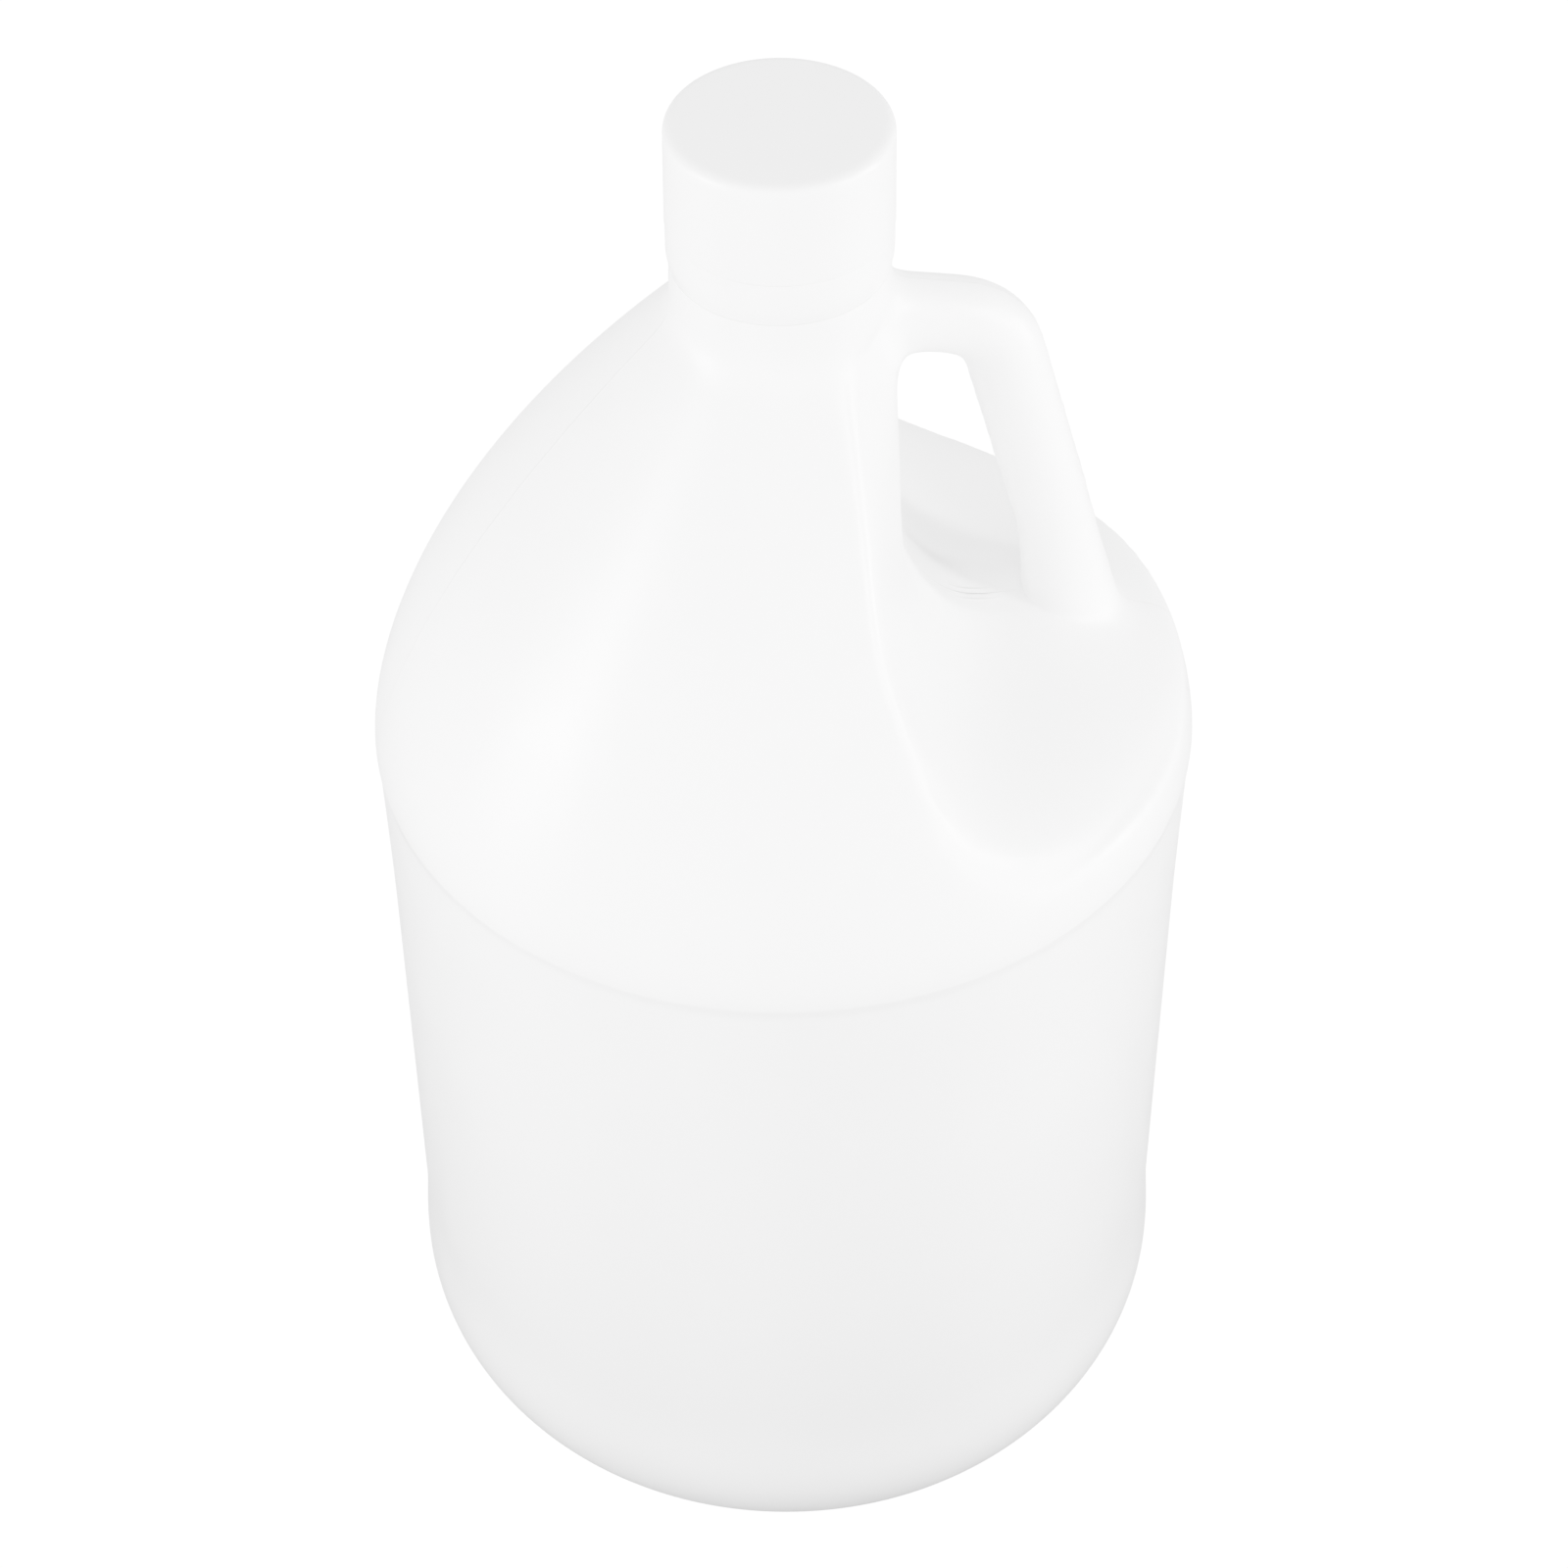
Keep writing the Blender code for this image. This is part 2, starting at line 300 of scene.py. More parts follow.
def handle_path():
    """Points of the tube's centre line, as (reach, height), and how far it points down at each."""
    grip_angle = math.pi / 2 - GRIP_LEAN
    turn = grip_angle - ARM_FALL
    tangent = BEND_RADIUS * math.tan(turn / 2)
    arm = (CORNER_REACH - ARM_START) / math.cos(ARM_FALL) - tangent
    reach = ARM_START + arm * math.cos(ARM_FALL)
    height = ARM_START_HEIGHT - arm * math.sin(ARM_FALL)
    path = [(ARM_START, ARM_START_HEIGHT, ARM_FALL), (reach, height, ARM_FALL)]
    chord = 2.0 * BEND_RADIUS * math.sin(0.5 * turn / BEND_STEPS)
    for step in range(BEND_STEPS):
        heading = ARM_FALL + turn * (step + 0.5) / BEND_STEPS
        reach += chord * math.cos(heading)
        height -= chord * math.sin(heading)
        path.append((reach, height, ARM_FALL + turn * (step + 1) / BEND_STEPS))
    fall = (height - GRIP_BOTTOM) / GRIP_STEPS
    for step in range(GRIP_STEPS):
        reach += fall * math.tan(GRIP_LEAN)
        height -= fall
        path.append((reach, height, grip_angle))
    return path


# ---------------------------------------------------------------- mesh helpers


def mesh_object(bm, name):
    """Turns a bmesh into a smooth-shaded object whose faces point outwards."""
    bmesh.ops.recalc_face_normals(bm, faces=bm.faces)
    mesh = bpy.data.meshes.new(name)
    bm.to_mesh(mesh)
    bm.free()
    mesh.shade_smooth()
    thing = bpy.data.objects.new(name, mesh)
    bpy.context.collection.objects.link(thing)
    return thing


def spun(bm, outline, steps, closed=False):
    """Spins an outline of (radius, height) points about the Z axis inside a bmesh."""
    verts = [bm.verts.new((radius, 0.0, height)) for radius, height in outline]
    edges = [bm.edges.new(pair) for pair in zip(verts, verts[1:])]
    if closed:
        edges.append(bm.edges.new((verts[-1], verts[0])))
    bmesh.ops.spin(
        bm,
        geom=verts + edges,
        cent=(0.0, 0.0, 0.0),
        axis=(0.0, 0.0, 1.0),
        angle=2.0 * math.pi,
        steps=steps,
        use_merge=True,
    )
    bmesh.ops.remove_doubles(bm, verts=bm.verts, dist=MERGE_DISTANCE)


def rounded(corners, steps=CORNER_STEPS):
    """An outline through (radius, height, rounding) corners, eased over their roundings."""
    points = []
    for i, (radius, height, rounding) in enumerate(corners):
        corner = Vector((radius, height))
        if rounding == 0.0 or i in (0, len(corners) - 1):
            points.append(tuple(corner))
            continue
        before = Vector(corners[i - 1][:2]) - corner
        after = Vector(corners[i + 1][:2]) - corner
        start = corner + before.normalized() * min(rounding, ROUNDING_SHARE * before.length)
        end = corner + after.normalized() * min(rounding, ROUNDING_SHARE * after.length)
        for step in range(steps + 1):
            t = step / steps
            point = start * (1.0 - t) ** 2 + corner * 2.0 * t * (1.0 - t) + end * t * t
            points.append(tuple(point))
    return points


def subdivided(outline, longest):
    """The same outline with points added so that no step is longer than a length."""
    points = [outline[0]]
    for start, end in zip(outline, outline[1:]):
        length = math.dist(start, end)
        parts = max(math.ceil(length / longest), 1)
        for part in range(1, parts + 1):
            t = part / parts
            points.append(tuple(a + (b - a) * t for a, b in zip(start, end)))
    return points


def combined(target, tool, operation):
    """Applies one Boolean to the target and removes the tool."""
    step = target.modifiers.new(operation.lower(), "BOOLEAN")
    step.operation = operation
    step.solver = "EXACT"
    step.object = tool
    applied(target)
    bpy.data.objects.remove(tool)


def applied(target):
    """Replaces the target's mesh with what its modifiers make of it."""
    graph = bpy.context.evaluated_depsgraph_get()
    mesh = bpy.data.meshes.new_from_object(target.evaluated_get(graph))
    target.modifiers.clear()
    target.data = mesh


# ---------------------------------------------------------------- jug


def hollow_cutter():
    """The space taken out of the shoulder: a curved sheet, pushed outwards into a block."""
    bottom = HOLLOW_LEVELS[0][0] * MM
    top = HOLLOW_LEVELS[-1][0] * MM
    bm = bmesh.new()
    bmesh.ops.create_grid(bm, x_segments=HOLLOW_COLUMNS, y_segments=HOLLOW_ROWS, size=1.0)
    levels = {}
    columns = range(1, len(HOLLOW_LEVELS[0]))
    for vert in bm.verts:
        side = vert.co.x * HOLLOW_HALF_WIDTH
        rise = 0.5 * (vert.co.y + 1.0)
        height = bottom + (top - bottom) * rise**HOLLOW_CURVE
        key = round(height, LEVEL_DIGITS)
        if key not in levels:
            levels[key] = [level_value(height, column) for column in columns]
        vert.co = (hollow_reach(side, levels[key]), side, height)
    outer = bmesh.ops.extrude_face_region(bm, geom=list(bm.faces))
    for vert in outer["geom"]:
        if isinstance(vert, bmesh.types.BMVert):
            vert.co.x = HOLLOW_REACH
    return mesh_object(bm, "hollow_cutter")


def handle_tube():
    """An oval disc, pushed along the centre line."""
    places = []
    for reach, height, angle in handle_path():
        turned_down = Matrix.Rotation(math.pi / 2 + angle, 4, "Y")
        grip_share = (angle - ARM_FALL) / (math.pi / 2 - GRIP_LEAN - ARM_FALL)
        thickness = ARM_THINNING + (1.0 - ARM_THINNING) * grip_share
        thinned = Matrix.Scale(thickness, 4, (1.0, 0.0, 0.0))
        places.append(Matrix.Translation((reach, 0.0, height)) @ turned_down @ thinned)
    half_sizes = (TUBE_THICKNESS / 2 + TUBE_SWELL, TUBE_WIDTH / 2 + TUBE_SWELL, 1.0, 1.0)
    disc = places[0] @ Matrix.Diagonal(half_sizes)
    bm = bmesh.new()
    bmesh.ops.create_circle(bm, cap_ends=True, segments=TUBE_STEPS, radius=1.0, matrix=disc)
    bm.faces.ensure_lookup_table()
    end = bm.faces[0]
    for before, after in zip(places, places[1:]):
        pushed = bmesh.ops.extrude_face_region(bm, geom=[end])
        if before is not places[0]:
            bmesh.ops.delete(bm, geom=[end], context="FACES_ONLY")
        end = next(item for item in pushed["geom"] if isinstance(item, bmesh.types.BMFace))
        bmesh.ops.transform(bm, matrix=after @ before.inverted(), verts=end.verts)
    return mesh_object(bm, "handle_tube")


def shoulder_core():
    """The shoulder and neck with the hollow cut and the handle joined, as one even mesh."""
    outline = [(0.0, CORE_BOTTOM)]
    rows = round((CORE_TOP - CORE_BOTTOM) / CORE_ROW)
    for row in range(rows + 1):
        height = CORE_BOTTOM + (CORE_TOP - CORE_BOTTOM) * row / rows
        outline.append((turned_radius(height), height))
    outline.append((0.0, CORE_TOP))
    bm = bmesh.new()
    spun(bm, outline, CORE_TURN_STEPS)
    core = mesh_object(bm, "shoulder_core")
    combined(core, hollow_cutter(), "DIFFERENCE")
    combined(core, handle_tube(), "UNION")
    remesh = core.modifiers.new("even", "REMESH")
    remesh.mode = "VOXEL"
    remesh.voxel_size = VOXEL
    applied(core)
    return core


def averaged(values, ends, degree):
    """The mean of each vertex's neighbours, for one value or vector at every vertex."""
    total = np.zeros_like(values)
    for one, other in (ends.T, ends.T[::-1]):
        for axis in range(values.shape[1]):
            total[:, axis] += np.bincount(one, values[other, axis], len(values))
    return total / degree[:, None]


def distances_to(points, places):
    """How far each place is from the nearest of some points."""
    tree = KDTree(len(points))
    for i, point in enumerate(points):
        tree.insert(point, i)
    tree.balance()
    return np.array([tree.find(place)[2] for place in places])


def distances_to_handle(places):
    """How far each place is from the centre line of the handle's tube."""
    line = np.array([(reach, 0.0, height) for reach, height, _ in handle_path()])
    nearest = np.full(len(places), np.inf)
    for start, end in zip(line, line[1:]):
        along = end - start
        share = np.clip((places - start) @ along / (along @ along), 0.0, 1.0)
        apart = places - start - share[:, None] * along
        nearest = np.minimum(nearest, np.linalg.norm(apart, axis=1))
    return nearest


def smooth_step(values):
    """Values cut to 0 and 1, with both ends eased."""
    cut = np.clip(values, 0.0, 1.0)
    return cut * cut * (3.0 - 2.0 * cut)


def closeness(centre, reach, places):
    """For each place, from 1 at a centre down to 0 at its reach."""
    return smooth_step(1.0 - np.linalg.norm(places - np.array(centre), axis=1) / reach)


def filleted(places, normals, ends, degree):
    """Fills the creases where the handle's tube runs into the hollow's floor and into the neck."""
    tube_radius = 0.25 * (TUBE_THICKNESS + TUBE_WIDTH) + TUBE_SWELL
    outside = distances_to_handle(places) > tube_radius + CREASE_BAND
    crossing = outside[ends[:, 0]] != outside[ends[:, 1]]
    crease = np.zeros(len(places), dtype=bool)
    crease[ends[crossing].ravel()] = True
    for _ in range(NORMAL_PASSES):
        normals = 0.5 * (normals + averaged(normals, ends, degree))
    lengths = np.linalg.norm(normals, axis=1)
    normals = normals / np.maximum(lengths, SHORTEST_NORMAL)[:, None]
    inner = smooth_step(0.5 + (FOOT_CENTRE.x - places[:, 0]) / FOOT_LOPSIDE)
    moves = np.zeros(len(places))
    for centre, reach, fillet, share in (
        (FOOT_CENTRE, FOOT_REACH, FOOT_FILLET, inner),
        (ROOT_CENTRE, ROOT_REACH, ROOT_FILLET, 1.0),
    ):
        close = crease & (np.linalg.norm(places - np.array(centre), axis=1) < reach)
        near = np.maximum(1.0 - distances_to(places[close], places) / fillet, 0.0)
        moves += FILLET_FILL * fillet * near**2 * share
    return places + normals * moves[:, None]


def eased(core):
    """Rounds the creases of the hollow and the handle, and puts the rest on the turned surface."""
    mesh = core.data
    count = len(mesh.vertices)
    places = np.empty(count * 3)
    mesh.vertices.foreach_get("co", places)
    places = places.reshape(-1, 3)
    normals = np.empty(count * 3, dtype=np.float32)
    mesh.vertex_normals.foreach_get("vector", normals)
    normals = normals.reshape(-1, 3).astype(float)
    ends = np.empty(len(mesh.edges) * 2, dtype=np.int64)
    mesh.edges.foreach_get("vertices", ends)
    ends = ends.reshape(-1, 2)
    degree = np.bincount(ends.ravel(), minlength=count)

    exact = np.array([turned_radius(height) for height in places[:, 2]])
    radius = np.hypot(places[:, 0], places[:, 1])
    shaped = np.abs(radius - exact) > LATHE_TOLERANCE
    shaped &= (places[:, 2] > CORE_BOTTOM + EASE_REACH) & (places[:, 2] < CORE_TOP - EASE_REACH)
    away = distances_to(places[shaped], places)
    none_below, all_above, all_below, none_above = RIM_LEVELS
    low_rim = smooth_step((places[:, 2] - none_below) / (all_above - none_below))
    low_rim *= smooth_step((none_above - places[:, 2]) / (none_above - all_below))
    to_the_side = smooth_step(np.abs(places[:, 1]) / RIM_SIDE - 1.0)
    low_rim *= smooth_step(1.0 - away / RIM_REACH) * to_the_side
    weight = np.maximum(smooth_step(1.0 - away / EASE_REACH), low_rim)
    foot = closeness(FOOT_CENTRE, FOOT_REACH, places)
    root = closeness(ROOT_CENTRE, ROOT_REACH, places)
    saddle = closeness(SADDLE_CENTRE, SADDLE_REACH, places)
    saddle *= smooth_step((distances_to_handle(places) - TUBE_THICKNESS / 2) / SADDLE_CLEARANCE)

    settled = filleted(places, normals, ends, degree)
    fillets = np.maximum(foot, root) * weight
    for strength, passes in (
        (weight, EASE_PASSES),
        (fillets, FILLET_PASSES),
        (low_rim, RIM_PASSES),
        (saddle * weight, SADDLE_PASSES),
    ):
        for _ in range(passes):
            settled += EASE_STEP * strength[:, None] * (averaged(settled, ends, degree) - settled)

    on_lathe = places.copy()
    on_lathe[:, :2] *= (exact / np.maximum(radius, MM))[:, None]
    far = (1.0 - weight)[:, None]
    turned_part = (~shaped)[:, None]
    settled = np.where(turned_part, settled * (1.0 - far) + on_lathe * far, settled)
    mesh.vertices.foreach_set("co", settled.ravel())
    mesh.update()


def boundary(bm, height):
    """The vertices of the open edge at a height, in order of their angle about the axis."""
    verts = {vert for edge in bm.edges if edge.is_boundary for vert in edge.verts}
    ring = [vert for vert in verts if abs(vert.co.z - height) < SEAM_TOLERANCE]
    return sorted(ring, key=lambda vert: (math.atan2(vert.co.y, vert.co.x), vert.index))


def stitch(bm, lower, upper):
    """A band of triangles between two rings of any number of points."""

    def angle(ring, i):
        whole, part = divmod(i, len(ring))
        vert = ring[part]
        return math.atan2(vert.co.y, vert.co.x) + 2.0 * math.pi * whole

    i = j = 0
    while i < len(lower) or j < len(upper):
        low, high = lower[i % len(lower)], upper[j % len(upper)]
        if j == len(upper) or (i < len(lower) and angle(lower, i + 1) <= angle(upper, j + 1)):
            bm.faces.new((low, lower[(i + 1) % len(lower)], high))
            i += 1
        else:
            bm.faces.new((low, upper[(j + 1) % len(upper)], high))
            j += 1


def lower_outline():
    """The base, heel, panel and ridge, from the axis up to the seam under the hollow."""
    corners = [
        (0.0, RECESS_DEPTH, 0.0),
        (RECESS_RADIUS, RECESS_DEPTH, RECESS_ROUNDING),
        (RECESS_RADIUS + RECESS_DEPTH, 0.0, RECESS_EDGE_ROUNDING),
        (FOOT_RADIUS, 0.0, 0.0),
    ]
    for step in range(1, HEEL_STEPS + 1):
        turn = 0.5 * math.pi * step / HEEL_STEPS
        radius = FOOT_RADIUS + (BODY_RADIUS - FOOT_RADIUS) * math.sin(turn)
        corners.append((radius, HEEL_HEIGHT * (1.0 - math.cos(turn)), 0.0))
    corners += [
        (BODY_RADIUS - HEEL_TOP_INSET, HEEL_HEIGHT + HEEL_TOP_RISE, HEEL_TOP_ROUNDING),
        (PANEL_RADIUS, PANEL_BOTTOM, PANEL_BOTTOM_ROUNDING),
        (PANEL_RADIUS, PANEL_SPREAD_START, PANEL_SPREAD_ROUNDING),
        (PANEL_TOP_RADIUS, PANEL_TOP, PANEL_TOP_ROUNDING),
        (BODY_RADIUS, PANEL_TOP + PANEL_STEP, RIDGE_ROUNDING),
    ]
    outline = rounded(corners + [(BODY_RADIUS, SHOULDER_BOTTOM, 0.0)])
    rows = round((SEAM_LOW - SEAM_BAND - SHOULDER_BOTTOM) / CORE_ROW)
    for row in range(1, rows + 1):
        height = SHOULDER_BOTTOM + (SEAM_LOW - SEAM_BAND - SHOULDER_BOTTOM) * row / rows
        outline.append((turned_radius(height), height))
    return subdivided(outline, PANEL_ROW)


def upper_outline():
    """The top of the neck inside the ring, from the upper seam to the axis."""
    corners = [
        (turned_radius(SEAM_HIGH + SEAM_BAND), SEAM_HIGH + SEAM_BAND, 0.0),
        (NECK_WAIST_RADIUS, NECK_WAIST_TOP, NECK_WAIST_ROUNDING),
        (MOUTH_RADIUS, NECK_WAIST_TOP, 0.0),
        (MOUTH_RADIUS, RING_TOP, 0.0),
        (0.0, RING_TOP, 0.0),
    ]
    return rounded(corners)


def jug():
    """The whole jug below the cap, as one closed mesh."""
    core = shoulder_core()
    eased(core)
    bm = bmesh.new()
    bm.from_mesh(core.data)
    for height, outwards in ((SEAM_LOW, -1.0), (SEAM_HIGH, 1.0)):
        bmesh.ops.bisect_plane(
            bm,
            geom=list(bm.verts) + list(bm.edges) + list(bm.faces),
            dist=MERGE_DISTANCE,
            plane_co=(0.0, 0.0, height),
            plane_no=(0.0, 0.0, outwards),
            clear_outer=True,
        )
    spun(bm, lower_outline(), TURN_STEPS)
    spun(bm, upper_outline(), TURN_STEPS)
    bm.verts.index_update()
    stitch(bm, boundary(bm, SEAM_LOW - SEAM_BAND), boundary(bm, SEAM_LOW))
    stitch(bm, boundary(bm, SEAM_HIGH), boundary(bm, SEAM_HIGH + SEAM_BAND))
    bpy.data.objects.remove(core)
    return mesh_object(bm, "jug_shell")


def ring():
    """The loose ring under the cap, tapered at its foot."""
    foot = NECK_WAIST_TOP + GAP
    inner = MOUTH_RADIUS + GAP
    corners = [
        (inner, foot, 0.0),
        (RING_FOOT_RADIUS, foot, EDGE_ROUNDING),
        (RING_RADIUS, foot + RING_TAPER, RING_ROUNDING),
        (RING_RADIUS, RING_TOP, EDGE_ROUNDING),
        (inner, RING_TOP, 0.0),
    ]
    bm = bmesh.new()
    spun(bm, rounded(corners), CAP_STEPS, closed=True)
    return mesh_object(bm, "tamper_band")


def cap():
    """The screw cap, shut on the neck."""
    foot = RING_TOP + GAP
    corners = [
        (0.0, foot, 0.0),
        (CAP_RADIUS, foot, EDGE_ROUNDING),
        (CAP_TOP_RADIUS, CAP_TOP, CAP_ROUNDING),
        (0.0, CAP_TOP, 0.0),
    ]
    bm = bmesh.new()
    spun(bm, subdivided(rounded(corners, CAP_CORNER_STEPS), PANEL_ROW), CAP_STEPS)
    return mesh_object(bm, "screw_cap")


# ---------------------------------------------------------------- materials


class Recipe:
    """Adds nodes to a material or a world, each linked to what it reads."""

    def __init__(self, owner, coordinates="Object"):
        self.nodes = owner.node_tree.nodes
        self.links = owner.node_tree.links
        self.place = self.nodes.new("ShaderNodeTexCoord").outputs[coordinates]

    def fed(self, socket, value):
        """Sets a socket to a number, or links it to another node's output."""
        if isinstance(value, bpy.types.NodeSocket):
            self.links.new(value, socket)
        else:
            socket.default_value = value

    def noise(self, scale, detail):
        """A cloudy pattern from 0 to 1."""
        texture = self.nodes.new("ShaderNodeTexNoise")
        texture.inputs["Scale"].default_value = scale
        texture.inputs["Detail"].default_value = detail
        self.links.new(self.place, texture.inputs["Vector"])
        return texture.outputs["Fac"]

    def math(self, operation, first, second=0.0):
        """A sum on one or two numbers."""
        node = self.nodes.new("ShaderNodeMath")
        node.operation = operation
        self.fed(node.inputs[0], first)
        self.fed(node.inputs[1], second)
        return node.outputs["Value"]

    def measured(self, operation, vector=(0.0, 0.0, 0.0)):
        """A number from the coordinates, such as their distance from a point."""
        node = self.nodes.new("ShaderNodeVectorMath")
        node.operation = operation
        node.inputs[1].default_value = vector
        self.links.new(self.place, node.inputs[0])
        return node.outputs["Value"]

    def mapped(self, value, before, after, kind="LINEAR"):
        """Stretches one range of values to another."""
        node = self.nodes.new("ShaderNodeMapRange")
        node.interpolation_type = kind
        node.inputs["From Min"].default_value, node.inputs["From Max"].default_value = before
        node.inputs["To Min"].default_value, node.inputs["To Max"].default_value = after
        self.links.new(value, node.inputs["Value"])
        return node.outputs["Result"]

    def bump(self, height, strength, distance, normal=None):
        """A relief, on top of another one where there is one."""
        node = self.nodes.new("ShaderNodeBump")
        node.inputs["Strength"].default_value = strength
        node.inputs["Distance"].default_value = distance
        self.links.new(height, node.inputs["Height"])
        if normal is not None:
            self.links.new(normal, node.inputs["Normal"])
        return node.outputs["Normal"]


def new_material(name):
    """A material with nodes."""
    material = bpy.data.materials.new(name)
    material.use_nodes = True
    return material


def grey(value):
    """A plain grey, from 0 to 1."""
    return (value, value, value, 1.0)


def parting_line(recipe, normal):
    """The thin raised line where the halves of the mould meet, with flash on the saddle."""
    split = recipe.nodes.new("ShaderNodeSeparateXYZ")
    recipe.links.new(recipe.place, split.inputs["Vector"])
    side = recipe.math("ABSOLUTE", split.outputs["Y"])

    def fading(value, width):
        return recipe.mapped(value, (0.0, width), (1.0, 0.0), "SMOOTHSTEP")

    line = fading(side, LINE_HALF_WIDTH)
    normal = recipe.bump(line, 1.0, LINE_HEIGHT, normal)
    near = fading(recipe.measured("DISTANCE", PINCH_CENTRE), PINCH_REACH)
    apart = recipe.math("ABSOLUTE", recipe.math("SUBTRACT", side, PINCH_SPREAD))
    both = recipe.math("MAXIMUM", fading(apart, STRAND_HALF_WIDTH), line)
    return recipe.bump(recipe.math("MULTIPLY", both, near), 1.0, PINCH_HEIGHT, normal)


def moulded_plastic(name, roughness, grain, parted):
    """White polyethylene: satin, finely grained, faintly wavy and slightly uneven in whiteness."""
    material = new_material(name)
    recipe = Recipe(material)
    shader = recipe.nodes["Principled BSDF"]
    shader.inputs["IOR"].default_value = PLASTIC_IOR
    shader.inputs["Specular IOR Level"].default_value = PLASTIC_SPECULAR

    white = recipe.nodes.new("ShaderNodeMix")
    white.data_type = "RGBA"
    white.inputs["A"].default_value = grey(PLASTIC_WHITE)
    white.inputs["B"].default_value = grey(PLASTIC_WHITE * (1.0 - PLASTIC_UNEVENNESS))
    patches = recipe.mapped(recipe.noise(*WHITE_NOISE), NOISE_RANGE, (0.0, 1.0))
    recipe.links.new(patches, white.inputs["Factor"])
    recipe.links.new(white.outputs["Result"], shader.inputs["Base Color"])

    roughnesses = (roughness - ROUGHNESS_SPREAD, roughness + ROUGHNESS_SPREAD)
    gloss = recipe.mapped(recipe.noise(*GLOSS_NOISE), NOISE_RANGE, roughnesses)
    recipe.links.new(gloss, shader.inputs["Roughness"])

    normal = recipe.bump(recipe.noise(*WAVE_NOISE), WAVE_STRENGTH, WAVE_HEIGHT)
    if parted:
        normal = parting_line(recipe, normal)
    normal = recipe.bump(recipe.noise(*GRAIN_NOISE), grain, GRAIN_HEIGHT, normal)
    recipe.links.new(normal, shader.inputs["Normal"])
    return material


def finish_piece(piece, material, body, node):
    """Gives a piece its material and ties it to the frame."""
    piece.data.materials.clear()
    piece.data.materials.append(material)
    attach(piece, body)
    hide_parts(node)


# ---------------------------------------------------------------- stage, light and camera


def floor():
    """A floor that looks plain white, with painted shade round the jug: its bounce colour darkens
    towards the jug, so it throws back less light near the jug than further off.
    """
    bm = bmesh.new()
    bmesh.ops.create_grid(bm, x_segments=1, y_segments=1, size=FLOOR_SIZE / 2)
    plane = mesh_object(bm, "floor")
    material = new_material("pale_floor")
    material.node_tree.nodes.clear()
    recipe = Recipe(material)
    nodes, links = recipe.nodes, recipe.links
    # Painted shade: the diffuse colour seen by bounced light is dark near the jug and pale far
    # off; camera rays see only the white glow.
    shades = (FLOOR_NEAR_PAINTED_SHADE, FLOOR_FAR_PAINTED_SHADE)
    away = recipe.measured("LENGTH")
    shade = recipe.mapped(away, (FLOOR_NEAR, FLOOR_FAR), shades, "SMOOTHSTEP")
    diffuse = nodes.new("ShaderNodeBsdfDiffuse")
    links.new(shade, diffuse.inputs["Color"])
    glow = nodes.new("ShaderNodeEmission")
    glow.inputs["Color"].default_value = grey(1.0)
    glow.inputs["Strength"].default_value = FLOOR_GLOW
    mix = nodes.new("ShaderNodeMixShader")
    links.new(nodes.new("ShaderNodeLightPath").outputs["Is Camera Ray"], mix.inputs[0])
    links.new(diffuse.outputs["BSDF"], mix.inputs[1])
    links.new(glow.outputs["Emission"], mix.inputs[2])
    output = nodes.new("ShaderNodeOutputMaterial")
    links.new(mix.outputs["Shader"], output.inputs["Surface"])
    plane.data.materials.append(material)


def direction(azimuth, elevation):
    """The unit vector towards a place of the studio, in degrees from the camera's side."""
    around = math.radians(azimuth) + CAMERA_AZIMUTH
    up = math.radians(elevation)
    level = math.cos(up)
    return Vector((math.sin(around) * level, -math.cos(around) * level, math.sin(up)))


def surroundings():
    """The pale room round the jug: a sum of broad glows, brightest high on the camera's side."""
    world = bpy.data.worlds.new("studio")
    bpy.context.scene.world = world
    world.use_nodes = True
    recipe = Recipe(world, "Generated")
    total = 0.0
    for azimuth, elevation, strength, sharpness in GLOWS:
        facing = recipe.measured("DOT_PRODUCT", direction(azimuth, elevation))
        glow = recipe.math("POWER", recipe.math("MAXIMUM", facing, 0.0), sharpness)
        total = recipe.math("ADD", recipe.math("MULTIPLY", glow, strength), total)
    background = recipe.nodes["Background"]
    background.inputs["Color"].default_value = grey(1.0)
    recipe.links.new(total, background.inputs["Strength"])


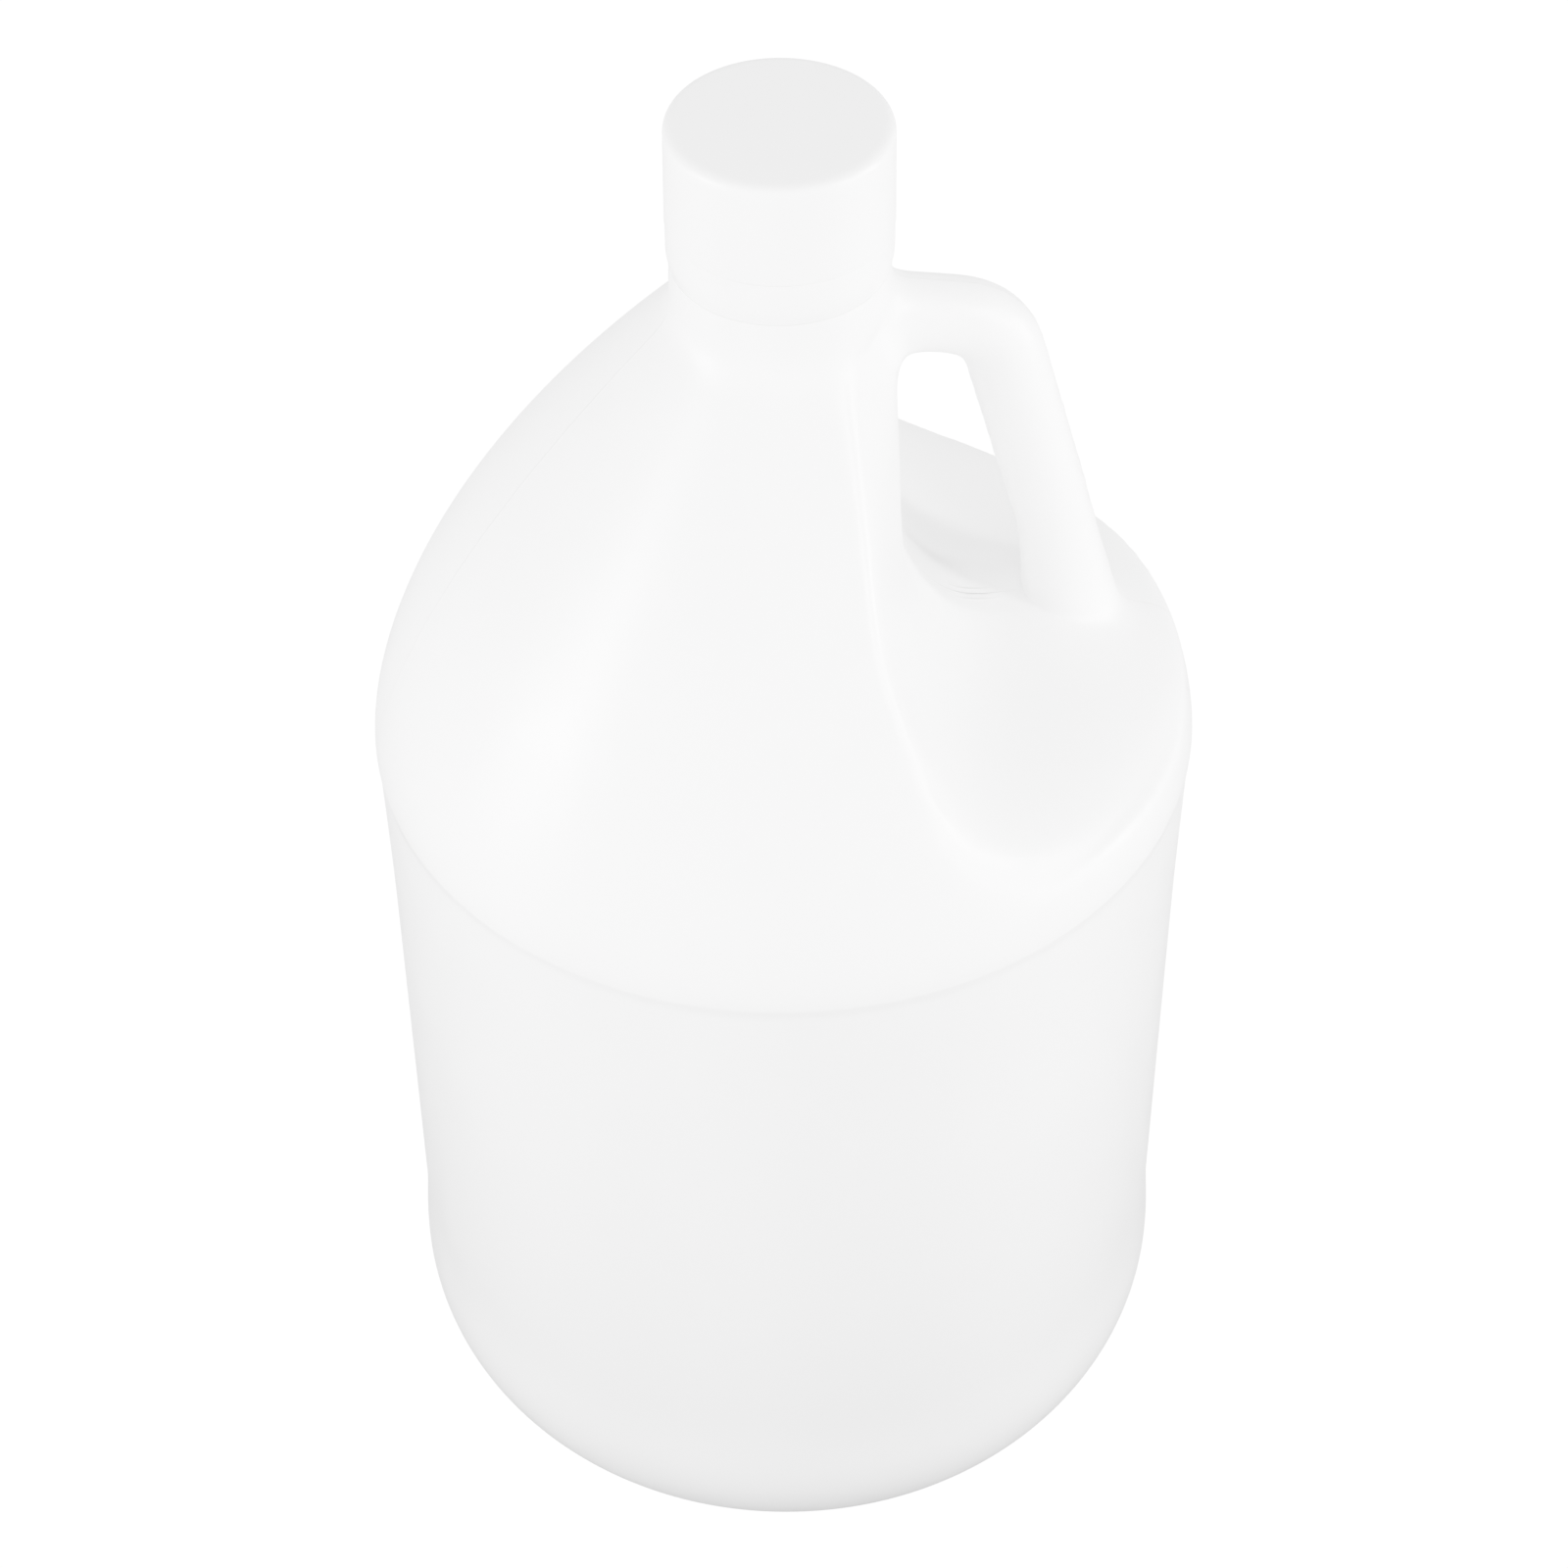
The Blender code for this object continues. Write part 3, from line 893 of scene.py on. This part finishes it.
def soft_boxes():
    """Soft lights on both sides, which face the jug."""
    for name, (azimuth, elevation, power, width, height) in SOFT_BOXES.items():
        data = bpy.data.lights.new(name, "AREA")
        data.shape = "RECTANGLE"
        data.size, data.size_y = width, height
        data.energy = power
        lamp = bpy.data.objects.new(name, data)
        bpy.context.collection.objects.link(lamp)
        way = direction(azimuth, elevation)
        lamp.location = BOX_TARGET + way * BOX_DISTANCE
        lamp.rotation_euler = (-way).to_track_quat("-Z", "Y").to_euler()


def camera():
    """The view from above, with the handle to the right and turned a little away."""
    data = bpy.data.cameras.new("camera")
    data.lens = CAMERA_LENS
    data.sensor_width = SENSOR_WIDTH
    view = bpy.data.objects.new("camera", data)
    bpy.context.collection.objects.link(view)
    place = Vector((math.sin(CAMERA_AZIMUTH), -math.cos(CAMERA_AZIMUTH), 0.0)) * CAMERA_DISTANCE
    place.z = CAMERA_HEIGHT
    turn = Matrix.Rotation(CAMERA_AZIMUTH, 4, "Z")
    tilt = Matrix.Rotation(math.pi / 2 - CAMERA_TILT, 4, "X")
    roll = Matrix.Rotation(CAMERA_ROLL, 4, "Z")
    view.matrix_world = Matrix.Translation(place) @ turn @ tilt @ roll
    bpy.context.scene.camera = view


# ---------------------------------------------------------------- the scene

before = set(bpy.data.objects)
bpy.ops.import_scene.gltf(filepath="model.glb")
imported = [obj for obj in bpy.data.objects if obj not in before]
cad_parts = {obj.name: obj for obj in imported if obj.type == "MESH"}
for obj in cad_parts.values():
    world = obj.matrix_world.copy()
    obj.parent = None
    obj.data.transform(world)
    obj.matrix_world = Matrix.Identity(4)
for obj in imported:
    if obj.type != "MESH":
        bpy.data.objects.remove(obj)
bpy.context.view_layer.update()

camera()
floor()
surroundings()
soft_boxes()

jug_plastic = moulded_plastic("milky_jug_plastic", JUG_ROUGHNESS, JUG_GRAIN, parted=True)
cap_plastic = moulded_plastic("white_cap_plastic", CAP_ROUGHNESS, CAP_GRAIN, parted=False)
finish_piece(jug(), jug_plastic, "root", "jug")
finish_piece(ring(), cap_plastic, "root", "tamper_ring")
finish_piece(cap(), cap_plastic, "root", "cap")

bpy.context.scene.view_settings.view_transform = "Standard"
bpy.context.scene.view_settings.gamma = TONE_GAMMA
